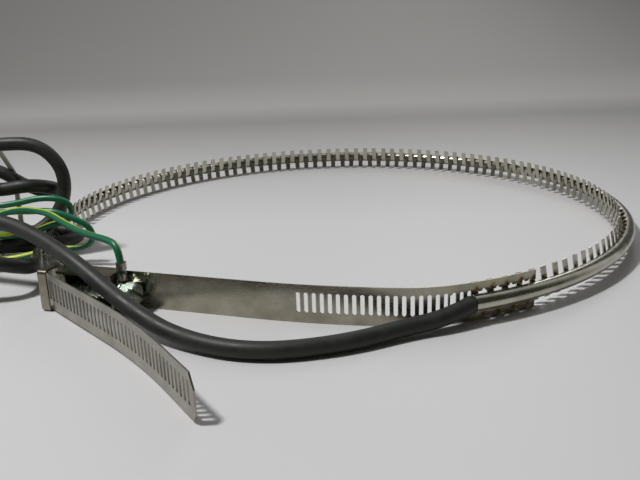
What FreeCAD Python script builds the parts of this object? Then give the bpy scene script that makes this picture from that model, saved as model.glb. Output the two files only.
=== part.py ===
import FreeCAD, Part
import math
import os

# Belt heater for a compressor crankcase: a heated rope in a stainless comb channel,
# closed into a ring by two slotted straps and a screw clamp.
# Origin: the ring's centre, on the surface that the ring lies on. +Z up the ring's axis,
# the clamp towards -X -Y. Millimetres.

Vector = FreeCAD.Vector
UP = Vector(0, 0, 1)

# Ring
ring_radius = 152.0
left_bend_radius = 240.0
left_bend_length = 85.9
circle_start_deg = -71.9
circle_turn_deg = 249.9

# Comb channel, folded from one stainless sheet
comb_thickness = 0.5
channel_radius = 3.3
channel_height = 8.3
lip_deg = 120.0
web_facets = 8
upper_finger_rise = 3.9
lower_finger_drop = 3.6
finger_pitch = 7.02
finger_width = 3.1

# Heated rope inside the channel
rope_clearance = 0.12
rope_wall = 0.9
rope_facets = 10
core_clearance = 0.1

# Rubber boots on the rope's ends
boot_overlap = 10.0
boot_gap = 0.7
neck_inside = 0.6
boot_out_deg = 11.0
boot_down_deg = {"a": 12.0, "b": -8.0}
collar_radius = 3.9
collar_length = 2.5
splice_radius = 1.0
splice_clearance = 0.1
splice_length = 9.0

# Straps
strap_width = 15.9
strap_thickness = 0.6
slot_pitch = 3.175
slot_width = 1.65
slot_corner = 0.5
slot_height = 8.45
slot_base = 4.3
stub_drop = 0.85
front_start_deg = -60.2
front_fork_deg = 13.0
fork_past_comb = (6.5, 9.0)
front_kick_radius = 60.0
front_kick_deg = 24.0
front_bow_radius = 300.0
front_bow_deg = 11.0
front_straight = 94.5
slotted_length = 102.0
rear_overlap = 35.0
rear_lift = 0.9
rear_straight = 26.0
rear_elbow_radius = 50.0
rear_elbow_deg = 23.5
tail_start = 45.0
tail_bow_radius = 300.0
tail_bow_deg = 9.5
tail_end = 24.5
tail_top_cut = (3.0, 5.0)
tail_bottom_cut = (1.6, 2.0)

# Clamp housing, keeper loop and screw, in the clamp's own frame:
# +X along the screw towards its head, -Y away from the ring
housing_along_straight = 57.7
housing_length = 26.0
housing_thickness = 1.0
housing_depth = 10.5
housing_base = 0.3
housing_height = 17.0
housing_bend = 1.2
keeper_width = 4.0
keeper_setback = 3.0
keeper_thickness = 0.8
keeper_depth = 12.6
screw_offset = 5.8
screw_height = 8.3
thread_radius = 3.4
thread_run = 20.5
neck_radius = 2.2
journal_radius = 1.8
running_clearance = 0.08
shoulder_clearance = 0.15
hex_across_flats = 9.5
hex_height = 6.0
hex_flange_radius = 5.3
hex_flange_height = 1.0
driver_slot_width = 1.5
driver_slot_depth = 2.0

# Star washer and earth terminal on the screw's neck
washer_radius = 4.9
washer_root_radius = 4.2
washer_teeth = 10
washer_thickness = 0.8
terminal_radius = 4.5
terminal_thickness = 0.8
neck_play = 0.3
tongue_width = 3.6
barrel_base = 14.2
barrel_height = 3.0
barrel_radius = 1.9
grip_base = 18.8
grip_height = 3.0
crimp_wall = 0.6
spine_width = 2.0

# Leads and earth wire
lead_radius = 3.35
conductor_radius = 0.9
conductor_length = 8.0
earth_radius = 1.5
earth_clearance = 0.06
earth_start = 17.3

# Routes, as points of the centre line after a first run straight out of each exit
lead_a_run = 11.0
lead_a_route = [
    (22.0, -158.0, 4.0), (-4.0, -170.5, 3.6), (-36.0, -175.0, 3.6), (-65.0, -160.5, 4.2),
    (-87.0, -143.0, 11.0), (-108.0, -126.5, 22.0), (-126.0, -110.5, 27.5), (-144.5, -96.5, 31.5),
    (-162.0, -89.5, 33.5), (-181.0, -83.0, 34.0), (-195.0, -73.5, 33.5), (-203.0, -61.5, 33.0), (-203.0, -51.0, 33.0),
]
lead_b_run = 9.0
lead_b_route = [
    (-145.0, -103.5, 15.0), (-157.0, -109.0, 19.0), (-174.0, -107.5, 19.5), (-192.0, -101.0, 18.0),
    (-209.0, -89.5, 16.0), (-221.0, -76.5, 15.0), (-226.5, -63.0, 15.0), (-226.5, -51.0, 15.0),
]
earth_run = 11.3
earth_route = [
    (-98.5, -116.0, 29.8), (-108.5, -107.5, 29.4), (-117.5, -98.0, 30.2), (-124.0, -86.0, 31.0),
    (-127.0, -75.5, 31.0), (-127.0, -65.5, 31.0),
]

# Hanks of the spare cord, and the tie round both
lead_hank_front = -51.0
lead_hank_width = 30.0
lead_hank_outline = [
    (-137.0, 24.0), (-150.0, 17.4), (-162.0, 17.4), (-180.0, 1.6), (-250.0, 1.6), (-262.0, 12.0),
    (-262.0, 32.0), (-240.0, 50.0), (-190.0, 62.0), (-150.0, 62.0), (-137.0, 50.0),
]
earth_hank_gap = 1.5
earth_hank_width = 13.0
earth_hank_outline = [
    (-118.0, 24.0), (-126.0, 17.6), (-160.0, 17.6), (-183.0, 14.0), (-190.0, 20.0), (-190.0, 29.0),
    (-183.0, 36.0), (-126.0, 40.0), (-118.0, 33.0),
]
tie_at = -175.0
tie_width = 4.8
tie_thickness = 1.2
tie_slack = 0.2


# Plan paths: a path is a list of straight and round stretches that follow on from each other
def plan_path(start, heading_deg, stretches, outward):
    """stretches are (length, radius): radius 0 is straight, positive turns left, negative right."""
    x, y = start
    heading = math.radians(heading_deg)
    path = []
    for length, radius in stretches:
        piece = {"x": x, "y": y, "heading": heading, "length": length, "radius": radius}
        path.append(piece)
        x, y, heading = point_along(piece, length)
    return {"pieces": path, "length": sum(p["length"] for p in path), "outward": outward}


def point_along(piece, distance):
    x, y, heading, radius = piece["x"], piece["y"], piece["heading"], piece["radius"]
    if radius == 0:
        return x + distance * math.cos(heading), y + distance * math.sin(heading), heading
    turned = heading + distance / radius
    x += radius * (math.sin(turned) - math.sin(heading))
    y -= radius * (math.cos(turned) - math.cos(heading))
    return x, y, turned


def path_point(path, distance):
    for piece in path["pieces"]:
        if distance <= piece["length"] or piece is path["pieces"][-1]:
            return point_along(piece, distance)
        distance -= piece["length"]


def frame_at(path, distance):
    """Placement whose X points away from the ring, Z up, at that distance along the path."""
    x, y, heading = path_point(path, distance)
    side = math.degrees(heading) - 90 * path["outward"]
    return FreeCAD.Placement(Vector(x, y, 0), FreeCAD.Rotation(UP, side))


def swept(profile, path, start, end):
    """The solid that a profile face, drawn in the XZ plane, leaves along a stretch of the path."""
    solids = []
    passed = 0.0
    for piece in path["pieces"]:
        low = max(start, passed)
        high = min(end, passed + piece["length"])
        if high - low > 1e-6:
            solids.append(swept_piece(profile, path, piece, low - passed, high - low))
        passed += piece["length"]
    if len(solids) == 1:
        return solids[0]
    return solids[0].multiFuse(solids[1:]).removeSplitter().Solids[0]


def swept_piece(profile, path, piece, offset, length):
    x, y, heading = point_along(piece, offset)
    face = profile.copy()
    side = math.degrees(heading) - 90 * path["outward"]
    face.Placement = FreeCAD.Placement(Vector(x, y, 0), FreeCAD.Rotation(UP, side))
    radius = piece["radius"]
    if radius == 0:
        return face.extrude(Vector(math.cos(heading), math.sin(heading), 0) * length)
    centre = Vector(x - radius * math.sin(heading), y + radius * math.cos(heading), 0)
    axis = UP if radius > 0 else -UP
    return face.revolve(centre, axis, math.degrees(length / abs(radius)))


# Profiles
def polygon_face(points, to_vector):
    corners = [to_vector(*p) for p in points]
    return Part.Face(Part.makePolygon(corners + corners[:1]))


def section(d, z):
    return Vector(d, 0, z)


def round_point(radius, degrees):
    angle = math.radians(degrees)
    return channel_radius + radius * math.cos(angle), channel_height + radius * math.sin(angle)


def channel_face():
    inner_radius = channel_radius - comb_thickness
    angles = [lip_deg * (2 * i / web_facets - 1) for i in range(web_facets + 1)]
    outer = [round_point(channel_radius, a) for a in angles]
    inner = [round_point(inner_radius, a) for a in angles]
    return polygon_face(outer + inner[::-1], section)


def finger_face(side, reach):
    """A finger's section: from one lip across to the inner side, then straight. side is 1 for the upper lip."""
    tip = channel_height - side * reach
    root, bend = side * lip_deg, 180
    points = [
        round_point(channel_radius, root), round_point(channel_radius, bend), (0.0, tip),
        (comb_thickness, tip), round_point(channel_radius - comb_thickness, bend),
        round_point(channel_radius - comb_thickness, root),
    ]
    return polygon_face(points, section)


def ring_face(outer_radius, inner_radius=0.0):
    disc = facet_disc(outer_radius)
    if inner_radius > 0:
        disc = disc.cut(facet_disc(inner_radius)).Faces[0]
    return disc


def facet_disc(radius):
    turns = [2 * math.pi * i / rope_facets for i in range(rope_facets)]
    points = [(channel_radius + radius * math.cos(a), channel_height + radius * math.sin(a)) for a in turns]
    return polygon_face(points, section)


def strap_face(base):
    points = [(comb_thickness, base), (comb_thickness + strap_thickness, base)]
    points += [(d, base + strap_width) for d, _ in reversed(points)]
    return polygon_face(points, section)


def comb_path():
    circle = ring_radius * math.radians(circle_turn_deg)
    stretches = [(circle, ring_radius), (left_bend_length, left_bend_radius)]
    return plan_path(circle_point(circle_start_deg), circle_start_deg + 90, stretches, 1)


def circle_point(degrees):
    angle = math.radians(degrees)
    return ring_radius * math.cos(angle), ring_radius * math.sin(angle)


def comb_channel(path):
    """The web with the fingers that rise from its lower lip and, between them, those that fall from its upper lip."""
    web = swept(channel_face(), path, 0, path["length"])
    upper = finger_face(-1, channel_radius + upper_finger_rise)
    lower = finger_face(1, channel_radius + lower_finger_drop)
    count = int((path["length"] - finger_width) / finger_pitch)
    first = (path["length"] - count * finger_pitch) / 2
    half = finger_width / 2
    fingers = []
    for i in range(count + 1):
        at = first + i * finger_pitch
        fingers.append(swept(upper, path, at - half, at + half))
        if i < count:
            at += finger_pitch / 2
            fingers.append(swept(lower, path, at - half, at + half))
    return web.multiFuse(fingers).Solids[0]


def rope_radius():
    """The rope fills the channel up to the fingers' slanting roots."""
    root = math.radians(180 - lip_deg) / 2
    return (channel_radius - comb_thickness) * math.cos(root) - rope_clearance


def rope(path):
    bore = rope_radius() - rope_wall
    low = boot_overlap
    high = path["length"] - boot_overlap
    jacket = swept(ring_face(rope_radius(), bore), path, low, high)
    core = swept(ring_face(bore - core_clearance), path, low, high)
    return jacket, core


def boot_line(path, end):
    """Where a boot leaves the channel's end, and its direction, a little outward and down or up."""
    frame = frame_at(path, 0 if end == "a" else path["length"])
    sign = -1 if end == "a" else 1
    out, down = math.radians(boot_out_deg), math.radians(boot_down_deg[end])
    along = Vector(math.cos(down) * math.sin(out), sign * math.cos(down) * math.cos(out), -math.sin(down))
    return frame.multVec(Vector(channel_radius, 0, channel_height)), frame.Rotation.multVec(along)


def boot(path, end):
    """A boot: a spigot inside the channel, with the splice in it, and a neck and collar outside."""
    low, high = (0, boot_overlap) if end == "a" else (path["length"] - boot_overlap, path["length"])
    spigot = swept(ring_face(rope_radius()), path, low, high)
    start, along = boot_line(path, end)
    neck = Part.makeCylinder(rope_radius(), boot_gap + neck_inside, start - along * neck_inside, along)
    collar = Part.makeCylinder(collar_radius, collar_length, start + along * boot_gap, along)
    if end == "a":
        low += boot_overlap - splice_length
    else:
        high -= boot_overlap - splice_length
    splice = swept(ring_face(splice_radius), path, low, high)
    room = swept(ring_face(splice_radius + splice_clearance), path, low, high)
    return spigot.multiFuse([neck, collar]).cut(room).Solids[0], splice


# Straps
def front_path():
    fork = ring_radius * math.radians(front_fork_deg)
    stretches = [
        (fork, -ring_radius),
        (front_kick_radius * math.radians(front_kick_deg), -front_kick_radius),
        (front_bow_radius * math.radians(front_bow_deg), -front_bow_radius),
        (front_straight, 0),
    ]
    return plan_path(circle_point(front_start_deg), front_start_deg - 90, stretches, -1)


def rear_path(path):
    """The rear strap follows the comb's left bend, then runs on straight to the keeper and its tail."""
    x, y, heading = path_point(path, path["length"] - rear_overlap)
    stretches = [
        (rear_overlap, left_bend_radius),
        (rear_straight, 0),
        (rear_elbow_radius * math.radians(rear_elbow_deg), rear_elbow_radius),
        (tail_start, 0),
        (tail_bow_radius * math.radians(tail_bow_deg), -tail_bow_radius),
        (tail_end, 0),
    ]
    return plan_path((x, y), math.degrees(heading), stretches, 1)


def cut_through(path, at, points):
    """A cutter through the strap at that distance: points are along the strap and up."""
    shape = polygon_face(points, lambda along, z: Vector(0, along, z))
    shape.Placement = frame_at(path, at)
    depth = Vector(1, 0, 0)
    side = frame_at(path, at).Rotation.multVec(depth)
    shape.translate(side * -1.0)
    return shape.extrude(side * 4.0)


def slot_points(base):
    half, top = slot_width / 2, base + slot_height
    inner = half - slot_corner
    return [(-inner, base), (inner, base), (half, base + slot_corner), (half, top - slot_corner),
            (inner, top), (-inner, top), (-half, top - slot_corner), (-half, base + slot_corner)]


def slotted(strap, path, base, length):
    cutters = []
    count = int((length - slot_pitch) / slot_pitch)
    for i in range(count):
        cutters.append(cut_through(path, slot_pitch * (i + 1), slot_points(base + slot_base)))
    return strap.cut(cutters)


def forked(strap, path, base, length):
    """The bars are cut away where the strap straddles the channel, but for a stub on the upper edge."""
    low = base + slot_base
    high = low + slot_height - stub_drop
    face = polygon_face([(-1, low), (3, low), (3, high), (-1, high)], section)
    return strap.cut(swept(face, path, 0, length))


def whole_bars(length):
    """The nearest length that ends in the middle of a bar between two slots."""
    return slot_pitch * (round(length / slot_pitch) + 0.5)


def front_strap():
    path = front_path()
    strap = swept(strap_face(0), path, 0, path["length"])
    fork = whole_bars(ring_radius * math.radians(front_start_deg - circle_start_deg) + fork_past_comb[0])
    return forked(slotted(strap, path, 0, slotted_length), path, 0, fork).Solids[0], path


def rear_strap(path):
    way = rear_path(path)
    strap = swept(strap_face(rear_lift), way, 0, way["length"])
    fork = whole_bars(rear_overlap + fork_past_comb[1])
    strap = forked(slotted(strap, way, rear_lift, way["length"]), way, rear_lift, fork)
    top = rear_lift + strap_width
    corners = [
        [(1, top + 1), (-tail_top_cut[0], top), (0, top - tail_top_cut[1]), (1, top - tail_top_cut[1])],
        [(1, rear_lift - 1), (-tail_bottom_cut[0], rear_lift), (0, rear_lift + tail_bottom_cut[1]),
         (1, rear_lift + tail_bottom_cut[1])],
    ]
    return strap.cut([cut_through(way, way["length"], c) for c in corners]).Solids[0], way


# Clamp
def clamp_frame(path):
    x, y, heading = path_point(path, path["length"] - front_straight + housing_along_straight)
    turn = FreeCAD.Rotation(UP, math.degrees(heading) + 180)
    out = comb_thickness + strap_thickness
    return FreeCAD.Placement(Vector(x, y, 0) + turn.multVec(Vector(0, -out, 0)), turn)


def block(x, y, z):
    size = [b - a for a, b in (x, y, z)]
    return Part.makeBox(*size, Vector(x[0], y[0], z[0]))


def rod(radius, start, end):
    """A cylinder on the screw's axis from one X to another."""
    return Part.makeCylinder(radius, end - start, Vector(start, -screw_offset, screw_height), Vector(1, 0, 0))


def clamp_housing():
    top = housing_base + housing_height
    t = housing_thickness
    outer = block((-housing_length, 0), (-housing_depth, 0), (housing_base, top))
    bends = [e for e in outer.Edges if abs(e.BoundBox.YMin) < 1e-6 and e.BoundBox.XLength > 1]
    outer = outer.makeFillet(housing_bend, bends)
    hollow = block((-housing_length - 1, 1), (-housing_depth - 1, -t), (housing_base + t, top - t))
    tongue_end = housing_length + keeper_setback + keeper_width
    tongue = block((-tongue_end, -housing_length), (-t, 0), (housing_base + housing_bend, top - housing_bend))
    head_wall = block((-t, 0), (-housing_depth, -t), (housing_base + t, top - t))
    journal_wall = head_wall.translated(Vector(-thread_run - t - 2 * shoulder_clearance, 0, 0))
    shell = outer.cut(hollow).multiFuse([tongue, head_wall, journal_wall])
    holes = [
        rod(neck_radius + running_clearance, -t - 1, 1),
        rod(journal_radius + running_clearance, -housing_length, -thread_run - t),
    ]
    return shell.cut(holes).removeSplitter().Solids[0]


def keeper_loop():
    start = -housing_length - keeper_setback
    back = -housing_thickness
    height = housing_base + housing_height + keeper_thickness
    outer = block((start - keeper_width, start), (back - keeper_depth, back), (0, height))
    edges = [e for e in outer.Edges if e.BoundBox.XLength > 1]
    outer = outer.makeFillet(2 * keeper_thickness, edges)
    k = keeper_thickness
    inner = block((start - keeper_width - 1, start + 1), (back - keeper_depth + k, back - k), (k, height - k))
    edges = [e for e in inner.Edges if e.BoundBox.XLength > 1]
    return outer.cut(inner.makeFillet(keeper_thickness, edges))


def clamp_screw():
    left = -housing_thickness - shoulder_clearance - thread_run
    tip = left - housing_thickness - 1.2
    thread_end = -housing_thickness - shoulder_clearance
    head = washer_thickness + terminal_thickness + shoulder_clearance * 3
    profile = [
        (tip, 0), (tip, journal_radius), (left, journal_radius), (left, thread_radius),
        (thread_end, thread_radius), (thread_end, neck_radius), (head, neck_radius),
        (head, hex_flange_radius), (head + hex_flange_height, hex_flange_radius),
        (head + hex_flange_height, 0),
    ]
    face = polygon_face(profile, lambda x, r: Vector(x, -screw_offset - r, screw_height))
    body = face.revolve(Vector(0, -screw_offset, screw_height), Vector(1, 0, 0), 360)
    corner = hex_across_flats / 2 / math.cos(math.pi / 6)
    flats = [(corner * math.cos(math.radians(60 * i)), corner * math.sin(math.radians(60 * i))) for i in range(6)]
    start = head + hex_flange_height
    hexagon = polygon_face(flats, lambda y, z: Vector(start, y - screw_offset, z + screw_height))
    hexagon = hexagon.extrude(Vector(hex_height, 0, 0))
    dome = Part.makeCone(corner + hex_height * 1.2, corner - 0.6, hex_height * 1.15,
                         Vector(start - 0.15 * hex_height, -screw_offset, screw_height), Vector(1, 0, 0))
    hexagon = hexagon.common(dome)
    top = start + hex_height
    slot = block((top - driver_slot_depth, top + 1), (-screw_offset - 8, -screw_offset + 8),
                 (screw_height - driver_slot_width / 2, screw_height + driver_slot_width / 2))
    slot.rotate(Vector(0, -screw_offset, screw_height), Vector(1, 0, 0), -38)
    return body.fuse(hexagon).cut(slot).removeSplitter().Solids[0]


def star_washer():
    points = []
    for i in range(washer_teeth * 2):
        radius = washer_radius if i % 2 == 0 else washer_root_radius
        angle = math.pi * i / washer_teeth
        points.append((radius * math.cos(angle), radius * math.sin(angle)))
    star = polygon_face(points, lambda y, z: Vector(0, y - screw_offset, z + screw_height))
    star = star.extrude(Vector(washer_thickness, 0, 0))
    return star.cut(rod(neck_radius + neck_play, -1, 2)).Solids[0]


def upright_tube(radius, wall, base, height):
    x = washer_thickness + barrel_radius
    outer = Part.makeCylinder(radius, height, Vector(x, -screw_offset, base))
    return outer.cut(Part.makeCylinder(radius - wall, height, Vector(x, -screw_offset, base)))


def earth_terminal():
    start = washer_thickness
    t = terminal_thickness
    plate = rod(terminal_radius, start, start + t)
    tongue = block((start, start + t), (-screw_offset - tongue_width / 2, -screw_offset + tongue_width / 2),
                   (screw_height, barrel_base + 0.5))
    spine = block((start, start + crimp_wall), (-screw_offset - spine_width / 2, -screw_offset + spine_width / 2),
                  (screw_height, grip_base + grip_height))
    barrel = upright_tube(barrel_radius, crimp_wall, barrel_base, barrel_height)
    grip = upright_tube(earth_radius + earth_clearance + crimp_wall, crimp_wall, grip_base, grip_height)
    hole = rod(neck_radius + neck_play, -1, start + t + 1)
    wire = Part.makeCylinder(earth_radius + earth_clearance, grip_height + 20,
                             Vector(start + barrel_radius, -screw_offset, barrel_base + barrel_height))
    strands = Part.makeCylinder(barrel_radius - crimp_wall, barrel_height,
                                Vector(start + barrel_radius, -screw_offset, barrel_base))
    return plate.multiFuse([tongue, spine, barrel, grip]).cut([hole, wire, strands]).Solids[0]


def earth_strands():
    x = washer_thickness + barrel_radius
    radius = barrel_radius - crimp_wall - 0.05
    return Part.makeCylinder(radius, earth_start - barrel_base, Vector(x, -screw_offset, barrel_base))


# Cords: straight runs joined by tangent arcs, each arc as large as its runs allow
def cord(name, points, radius):
    points = [Vector(*p) for p in points]
    edges = []
    radii = []
    here = points[0]
    for before, corner, after in zip(points, points[1:], points[2:]):
        back = before - corner
        on = after - corner
        half_turn = (math.pi - back.getAngle(on)) / 2
        reach = 0.45 * min(back.Length, on.Length)
        radii.append(reach / math.tan(half_turn))
        back.normalize()
        on.normalize()
        start = corner + back * reach
        end = corner + on * reach
        middle = back + on
        middle.normalize()
        inside = radii[-1] / math.cos(half_turn) - radii[-1]
        edges.append(Part.LineSegment(here, start).toShape())
        edges.append(Part.Arc(start, corner + middle * inside, end).toShape())
        here = end
    edges.append(Part.LineSegment(here, points[-1]).toShape())
    spine = Part.Wire(edges)
    start = points[1] - points[0]
    rim = Part.Wire(Part.makeCircle(radius, points[0], start))
    tube = spine.makePipeShell([rim], True, False)
    share = tube.Volume / (math.pi * radius ** 2 * spine.Length)
    print(name, "length %.0f" % spine.Length, "smallest radius %.1f" % min(radii),
          "runs", [round((b - a).Length) for a, b in zip(points, points[1:])], "volume share %.4f" % share)
    return Part.Solid(tube) if tube.ShapeType == "Shell" else tube


def hank(outline, front, width):
    """The outer shape of a hank of cord, lying along X."""
    return polygon_face(outline, lambda x, z: Vector(x, front, z)).extrude(Vector(0, width, 0))


def earth_hank_front():
    return lead_hank_front - earth_hank_gap - earth_hank_width


def hank_tie():
    """A band round both hanks, as high as the lead hank is there."""
    near = [p for p in lead_hank_outline if abs(p[0] - tie_at) < 20]
    low = min(z for x, z in near) - tie_slack
    high = max(z for x, z in lead_hank_outline) + tie_slack
    front = earth_hank_front() - tie_slack
    back = lead_hank_front + lead_hank_width + tie_slack
    t = tie_thickness
    outer = block((tie_at, tie_at + tie_width), (front - t, back + t), (low - t, high + t))
    return outer.cut(block((tie_at - 1, tie_at + tie_width + 1), (front, back), (low, high)))


def conductor(outline, across, height):
    """A stripped end that stands out of a hank's left end."""
    left = min(x for x, z in outline)
    return Part.makeCylinder(conductor_radius, conductor_length, Vector(left, across, height), Vector(-1, 0, 0))


def build():
    path = comb_path()
    parts = {"comb_channel": comb_channel(path)}
    parts["rope_jacket"], parts["rope_core"] = rope(path)
    parts["boot_a"], parts["splice_a"] = boot(path, "a")
    parts["boot_b"], parts["splice_b"] = boot(path, "b")
    parts["front_strap"], front = front_strap()
    parts["rear_strap"], rear = rear_strap(path)
    clamp = clamp_frame(front)
    for name, make in (
        ("clamp_housing", clamp_housing), ("keeper_loop", keeper_loop), ("clamp_screw", clamp_screw),
        ("star_washer", star_washer), ("earth_terminal", earth_terminal), ("earth_strands", earth_strands),
    ):
        shape = make()
        shape.Placement = clamp.multiply(shape.Placement)
        parts[name] = shape
    cords = []
    for end, run, route in (("a", lead_a_run, lead_a_route), ("b", lead_b_run, lead_b_route)):
        start, along = boot_line(path, end)
        start += along * (boot_gap + collar_length)
        first = start + along * run
        cords.append(("lead_" + end, [start, first, *route], lead_radius))
    wire_x = washer_thickness + barrel_radius
    wire = [clamp.multVec(Vector(wire_x, -screw_offset, z)) for z in (earth_start, earth_start + earth_run)]
    cords.append(("earth_wire", [*wire, *earth_route], earth_radius))
    for name, points, radius in cords:
        parts[name] = cord(name, points, radius)
        print(name, "starts", [[round(c, 2) for c in p] for p in points[:2]])
    parts["lead_hank"] = hank(lead_hank_outline, lead_hank_front, lead_hank_width)
    parts["earth_hank"] = hank(earth_hank_outline, earth_hank_front(), earth_hank_width)
    parts["hank_tie"] = hank_tie()
    middle = lead_hank_front + lead_hank_width / 2
    parts["lead_a_conductor"] = conductor(lead_hank_outline, middle - 8, 26.0)
    parts["lead_b_conductor"] = conductor(lead_hank_outline, middle + 8, 22.0)
    parts["earth_conductor"] = conductor(earth_hank_outline, earth_hank_front() + earth_hank_width / 2, 24.5)
    print("screw axis through", tuple(round(c, 3) for c in clamp.multVec(Vector(0, -screw_offset, screw_height))),
          "along", tuple(round(c, 5) for c in clamp.Rotation.multVec(Vector(1, 0, 0))))
    return parts


os.makedirs("parts", exist_ok=True)
for name, shape in build().items():
    if not shape.isValid() or len(shape.Solids) != 1:
        print("check", name, shape.isValid(), len(shape.Solids))
    shape.exportStep("parts/%s.step" % name)
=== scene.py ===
import math
import bmesh
import bpy
from mathutils import Matrix, Vector


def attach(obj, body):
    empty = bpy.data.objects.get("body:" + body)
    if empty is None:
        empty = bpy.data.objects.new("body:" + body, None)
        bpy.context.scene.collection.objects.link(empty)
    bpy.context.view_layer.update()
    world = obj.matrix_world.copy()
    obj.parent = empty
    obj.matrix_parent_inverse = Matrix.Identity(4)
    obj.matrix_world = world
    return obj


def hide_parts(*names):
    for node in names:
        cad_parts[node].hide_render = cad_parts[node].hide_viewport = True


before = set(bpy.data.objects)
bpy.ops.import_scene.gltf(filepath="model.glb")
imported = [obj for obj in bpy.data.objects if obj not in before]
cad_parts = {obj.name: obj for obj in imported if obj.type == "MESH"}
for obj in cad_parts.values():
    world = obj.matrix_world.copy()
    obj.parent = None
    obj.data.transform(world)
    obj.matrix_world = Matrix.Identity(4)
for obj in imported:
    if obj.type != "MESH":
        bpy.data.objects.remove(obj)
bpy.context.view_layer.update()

mm = 0.001
up = Vector((0, 0, 1))
# A box's faces, with its corners listed by x, then y, then z
boxFaces = ((0, 1, 3, 2), (4, 6, 7, 5), (0, 4, 5, 1), (2, 3, 7, 6), (0, 2, 6, 4), (1, 5, 7, 3))


# Small helpers

def linearColour(hexColour):
    parts = [int(hexColour[i:i + 2], 16) / 255 for i in (1, 3, 5)]
    linear = [c / 12.92 if c <= 0.04045 else ((c + 0.055) / 1.055) ** 2.4 for c in parts]
    return (*linear, 1.0)


def addNode(tree, kind, settings=None, links=None):
    # settings are a node's attributes or input values, links its inputs joined to other sockets
    node = tree.nodes.new(kind)
    for name, value in (settings or {}).items():
        if isinstance(name, str) and hasattr(node, name):
            setattr(node, name, value)
        else:
            node.inputs[name].default_value = value
    for name, socket in (links or {}).items():
        tree.links.new(socket, node.inputs[name])
    return node


def linkPiece(name, mesh, material=None):
    piece = bpy.data.objects.new(name, mesh)
    bpy.context.scene.collection.objects.link(piece)
    if material:
        mesh.materials.append(material)
    return piece


def smoothMesh(mesh, angle):
    mesh.polygons.foreach_set("use_smooth", [True] * len(mesh.polygons))
    mesh.set_sharp_from_angle(angle=math.radians(angle))


def outwardMesh(name, verts, faces, smoothAngle):
    # a mesh with its faces turned outwards
    mesh = bpy.data.meshes.new(name)
    mesh.from_pydata([tuple(v) for v in verts], [], faces)
    bm = bmesh.new()
    bm.from_mesh(mesh)
    bmesh.ops.recalc_face_normals(bm, faces=bm.faces)
    bm.to_mesh(mesh)
    bm.free()
    smoothMesh(mesh, smoothAngle)
    return mesh


def meshPiece(name, verts, faces, material, smoothAngle=35):
    return linkPiece(name, outwardMesh(name, verts, faces, smoothAngle), material)


def paintNode(nodeName, material):
    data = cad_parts[nodeName].data
    data.materials.clear()
    data.materials.append(material)


# Materials

def startMaterial(name):
    material = bpy.data.materials.new(name)
    material.use_nodes = True
    tree = material.node_tree
    tree.nodes.clear()
    shader = addNode(tree, "ShaderNodeBsdfPrincipled")
    addNode(tree, "ShaderNodeOutputMaterial", {}, {"Surface": shader.outputs[0]})
    return material, tree, shader


def rampNode(tree, factor, stops):
    ramp = addNode(tree, "ShaderNodeValToRGB", {}, {"Fac": factor})
    elements = ramp.color_ramp.elements
    while len(elements) < len(stops):
        elements.new(0.5)
    for element, (place, hexColour) in zip(elements, stops):
        element.position = place
        element.color = linearColour(hexColour)
    return ramp.outputs["Color"]


def noiseNode(tree, coords, featureMm, detail=3, stretch=None):
    # blobs about featureMm across; stretch lengthens them along an axis
    if stretch:
        coords = addNode(tree, "ShaderNodeMapping", {"Scale": stretch}, {"Vector": coords}).outputs[0]
    settings = {"Scale": 1000 / featureMm, "Detail": detail}
    return addNode(tree, "ShaderNodeTexNoise", settings, {"Vector": coords}).outputs["Fac"]


def rangeNode(tree, value, low, high, toLow, toHigh):
    settings = {"From Min": low, "From Max": high, "To Min": toLow, "To Max": toHigh}
    return addNode(tree, "ShaderNodeMapRange", settings, {"Value": value}).outputs["Result"]


def mixColour(tree, factor, first, second):
    mix = addNode(tree, "ShaderNodeMix", {"data_type": "RGBA"})
    tree.links.new(factor, mix.inputs["Factor"])
    for socket, value in ((mix.inputs[6], first), (mix.inputs[7], second)):
        if isinstance(value, str):
            socket.default_value = linearColour(value)
        else:
            tree.links.new(value, socket)
    return mix.outputs[2]


def objectCoords(tree):
    return addNode(tree, "ShaderNodeTexCoord").outputs["Object"]


# Stainless strip, rolled and dull: soft reflections with fine grain, a little grey-olive handling film
def rolledStainless(name, tint, darkTint, rough=(0.30, 0.44), stains=()):
    material, tree, shader = startMaterial(name)
    coords = objectCoords(tree)
    film = noiseNode(tree, coords, 9, 4)
    grain = noiseNode(tree, coords, 0.35, 2, (0.12, 0.12, 1.0))
    colour = rampNode(tree, film, [(0.3, darkTint), (0.7, tint)])
    if stains:
        colour = heatStains(tree, coords, colour, stains)
    tree.links.new(colour, shader.inputs["Base Color"])
    tree.links.new(rangeNode(tree, grain, 0.3, 0.7, *rough), shader.inputs["Roughness"])
    bump = addNode(tree, "ShaderNodeBump", {"Strength": 0.12, "Distance": 0.00004}, {"Height": grain})
    tree.links.new(bump.outputs[0], shader.inputs["Normal"])
    shader.inputs["Metallic"].default_value = 1.0
    return material


# Spot welds leave straw to brown rings on the steel, 3 to 4 mm across, with a darker middle. Each
# ring is (farShare, farMore, nearShare, nearMore, strength): it fades in between two distances, each
# a share of the stain's size and a few tenths of a millimetre or more for the wobble
heat = {
    "wobbleMm": 1.6, "wobbleReach": 0.0022, "straw": "#8c7443", "brown": "#4a3617",
    "outer": (0.55, 1.1, 0.25, 0.9, 0.85), "inner": (0.28, 1.0, 0.1, 0.9, 0.9),
}


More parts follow.
